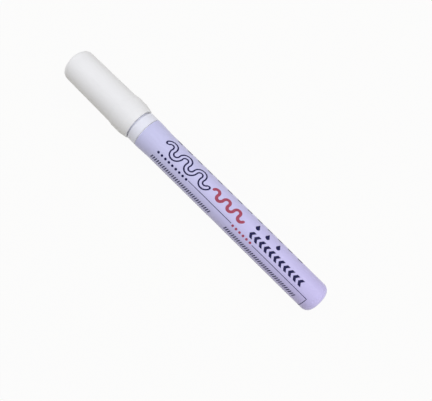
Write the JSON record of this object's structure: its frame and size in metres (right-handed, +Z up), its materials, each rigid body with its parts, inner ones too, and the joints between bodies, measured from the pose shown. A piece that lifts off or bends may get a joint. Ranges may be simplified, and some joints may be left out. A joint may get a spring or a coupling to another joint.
{
  "type": "paint marker",
  "caption": "Valve-action paint marker: a lacquered aluminium barrel with a moulded front, a sprung fibre nib and a pull-off cap with a soft liner.",
  "frame": {"origin": "on the surface that the marker lies on, under the middle of its capped length", "axes": "+X along the marker from the cap's closed end to the tail, +Z up"},
  "size_m": [0.1378, 0.0156, 0.0157],
  "materials": {
    "barrel_lacquer": "pale lilac lacquer, satin",
    "front_plastic": "white moulded plastic, light gloss",
    "cap_plastic": "white moulded plastic, satin",
    "liner_plastic": "natural soft plastic",
    "nib_fibre": "bonded fibre, unmarked",
    "valve_plastic": "natural moulded plastic",
    "seal_rubber": "soft black rubber",
    "steel": "stainless steel",
    "print_navy": "screen ink on the barrel",
    "print_red": "screen ink on the barrel"
  },
  "bodies": {
    "barrel": {"barrel": "barrel_lacquer", "front_section": "front_plastic", "sealing_ring": "seal_rubber", "valve_seat": "seal_rubber", "valve_cage": "valve_plastic", "valve_spring": "steel"},
    "cap": {"cap_shell": "cap_plastic", "cap_liner": "liner_plastic"},
    "nib_valve": {"nib": "nib_fibre", "valve_stem": "valve_plastic"},
    "mixing_ball": {"mixing_ball": "steel"}
  },
  "joints": [
    {"name": "cap_pull", "type": "slide", "parent": "barrel", "child": "cap", "axis": [-1, 0, 0], "range_m": [0, 0.045]},
    {"name": "nib_press", "type": "slide", "parent": "barrel", "child": "nib_valve", "axis": [1, 0, 0], "range_m": [0, 0.0012], "stiffness_N_per_m": 800, "springref_m": -0.002, "deforming": ["valve_spring"]},
    {"name": "ball_roll", "type": "slide", "parent": "barrel", "child": "mixing_ball", "axis": [-1, 0, 0], "range_m": [0, 0.0793]}
  ]
}
